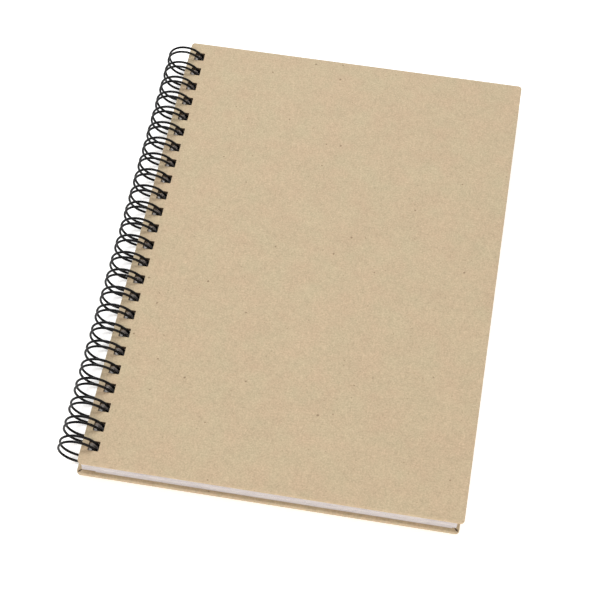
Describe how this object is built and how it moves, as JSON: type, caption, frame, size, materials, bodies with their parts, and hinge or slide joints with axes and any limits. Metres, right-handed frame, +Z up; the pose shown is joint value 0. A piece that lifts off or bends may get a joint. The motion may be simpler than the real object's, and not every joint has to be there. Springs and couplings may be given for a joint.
{
  "type": "sketchbook",
  "caption": "Hardcover sketchbook with kraft-paper covers and a block of loose sheets on a black twin-loop wire, about which the front cover and the sheets turn open.",
  "frame": {"origin": "under the middle of the object's box, level with the underside of the wire's loops", "axes": "+X from the wire to the fore edge, +Y to the head of the page, +Z up through the front cover"},
  "size_m": [0.1546, 0.21, 0.0166],
  "materials": {
    "kraft": "uncoated kraft paper, lightly mottled, matt",
    "board": "greyboard, matt, seen only at the holes' walls",
    "paper": "smooth white drawing paper, matt",
    "wire": "black nylon-coated steel wire, glossy"
  },
  "bodies": {
    "back_cover": {"back_cover_board": "board", "back_cover_wrap": "kraft", "back_cover_pastedown": "paper", "twin_loop_wire": "wire"},
    "front_cover": {"front_cover_board": "board", "front_cover_wrap": "kraft", "front_cover_pastedown": "paper"},
    "bundle_01": {"sheets_01": "paper"},
    "bundle_02": {"sheets_02": "paper"},
    "bundle_03": {"sheets_03": "paper"},
    "bundle_04": {"sheets_04": "paper"},
    "bundle_05": {"sheets_05": "paper"},
    "bundle_06": {"sheets_06": "paper"},
    "bundle_07": {"sheets_07": "paper"},
    "bundle_08": {"sheets_08": "paper"},
    "bundle_09": {"sheets_09": "paper"},
    "bundle_10": {"sheets_10": "paper"},
    "bundle_11": {"sheets_11": "paper"},
    "bundle_12": {"sheets_12": "paper"},
    "bundle_13": {"sheets_13": "paper"},
    "bundle_14": {"sheets_14": "paper"},
    "bundle_15": {"sheets_15": "paper"},
    "bundle_16": {"sheets_16": "paper"}
  },
  "joints": [
    {"name": "front_cover_turn", "type": "hinge", "parent": "back_cover", "child": "front_cover", "pos_m": [-0.06901, 0, 0.00829], "axis": [0, -1, 0], "range_deg": [0, 180]},
    {"name": "sheets_01_turn", "type": "hinge", "parent": "back_cover", "child": "bundle_01", "pos_m": [-0.06901, 0, 0.00829], "axis": [0, -1, 0], "range_deg": [0, 180]},
    {"name": "sheets_02_turn", "type": "hinge", "parent": "back_cover", "child": "bundle_02", "pos_m": [-0.06901, 0, 0.00829], "axis": [0, -1, 0], "range_deg": [0, 180]},
    {"name": "sheets_03_turn", "type": "hinge", "parent": "back_cover", "child": "bundle_03", "pos_m": [-0.06901, 0, 0.00829], "axis": [0, -1, 0], "range_deg": [0, 180]},
    {"name": "sheets_04_turn", "type": "hinge", "parent": "back_cover", "child": "bundle_04", "pos_m": [-0.06901, 0, 0.00829], "axis": [0, -1, 0], "range_deg": [0, 180]},
    {"name": "sheets_05_turn", "type": "hinge", "parent": "back_cover", "child": "bundle_05", "pos_m": [-0.06901, 0, 0.00829], "axis": [0, -1, 0], "range_deg": [0, 180]},
    {"name": "sheets_06_turn", "type": "hinge", "parent": "back_cover", "child": "bundle_06", "pos_m": [-0.06901, 0, 0.00829], "axis": [0, -1, 0], "range_deg": [0, 180]},
    {"name": "sheets_07_turn", "type": "hinge", "parent": "back_cover", "child": "bundle_07", "pos_m": [-0.06901, 0, 0.00829], "axis": [0, -1, 0], "range_deg": [0, 180]},
    {"name": "sheets_08_turn", "type": "hinge", "parent": "back_cover", "child": "bundle_08", "pos_m": [-0.06901, 0, 0.00829], "axis": [0, -1, 0], "range_deg": [0, 180]},
    {"name": "sheets_09_turn", "type": "hinge", "parent": "back_cover", "child": "bundle_09", "pos_m": [-0.06901, 0, 0.00829], "axis": [0, -1, 0], "range_deg": [0, 180]},
    {"name": "sheets_10_turn", "type": "hinge", "parent": "back_cover", "child": "bundle_10", "pos_m": [-0.06901, 0, 0.00829], "axis": [0, -1, 0], "range_deg": [0, 180]},
    {"name": "sheets_11_turn", "type": "hinge", "parent": "back_cover", "child": "bundle_11", "pos_m": [-0.06901, 0, 0.00829], "axis": [0, -1, 0], "range_deg": [0, 180]},
    {"name": "sheets_12_turn", "type": "hinge", "parent": "back_cover", "child": "bundle_12", "pos_m": [-0.06901, 0, 0.00829], "axis": [0, -1, 0], "range_deg": [0, 180]},
    {"name": "sheets_13_turn", "type": "hinge", "parent": "back_cover", "child": "bundle_13", "pos_m": [-0.06901, 0, 0.00829], "axis": [0, -1, 0], "range_deg": [0, 180]},
    {"name": "sheets_14_turn", "type": "hinge", "parent": "back_cover", "child": "bundle_14", "pos_m": [-0.06901, 0, 0.00829], "axis": [0, -1, 0], "range_deg": [0, 180]},
    {"name": "sheets_15_turn", "type": "hinge", "parent": "back_cover", "child": "bundle_15", "pos_m": [-0.06901, 0, 0.00829], "axis": [0, -1, 0], "range_deg": [0, 180]},
    {"name": "sheets_16_turn", "type": "hinge", "parent": "back_cover", "child": "bundle_16", "pos_m": [-0.06901, 0, 0.00829], "axis": [0, -1, 0], "range_deg": [0, 180]}
  ],
  "couplings": [
    {"joint": "sheets_01_turn", "follows": "front_cover_turn", "ratio": 0.992},
    {"joint": "sheets_02_turn", "follows": "front_cover_turn", "ratio": 0.984},
    {"joint": "sheets_03_turn", "follows": "front_cover_turn", "ratio": 0.976},
    {"joint": "sheets_04_turn", "follows": "front_cover_turn", "ratio": 0.968},
    {"joint": "sheets_05_turn", "follows": "front_cover_turn", "ratio": 0.96},
    {"joint": "sheets_06_turn", "follows": "front_cover_turn", "ratio": 0.952},
    {"joint": "sheets_07_turn", "follows": "front_cover_turn", "ratio": 0.944},
    {"joint": "sheets_08_turn", "follows": "front_cover_turn", "ratio": 0.936},
    {"joint": "sheets_09_turn", "follows": "front_cover_turn", "ratio": 0.044},
    {"joint": "sheets_10_turn", "follows": "front_cover_turn", "ratio": 0.039},
    {"joint": "sheets_11_turn", "follows": "front_cover_turn", "ratio": 0.034},
    {"joint": "sheets_12_turn", "follows": "front_cover_turn", "ratio": 0.029},
    {"joint": "sheets_13_turn", "follows": "front_cover_turn", "ratio": 0.024},
    {"joint": "sheets_14_turn", "follows": "front_cover_turn", "ratio": 0.019},
    {"joint": "sheets_15_turn", "follows": "front_cover_turn", "ratio": 0.014},
    {"joint": "sheets_16_turn", "follows": "front_cover_turn", "ratio": 0.009}
  ]
}
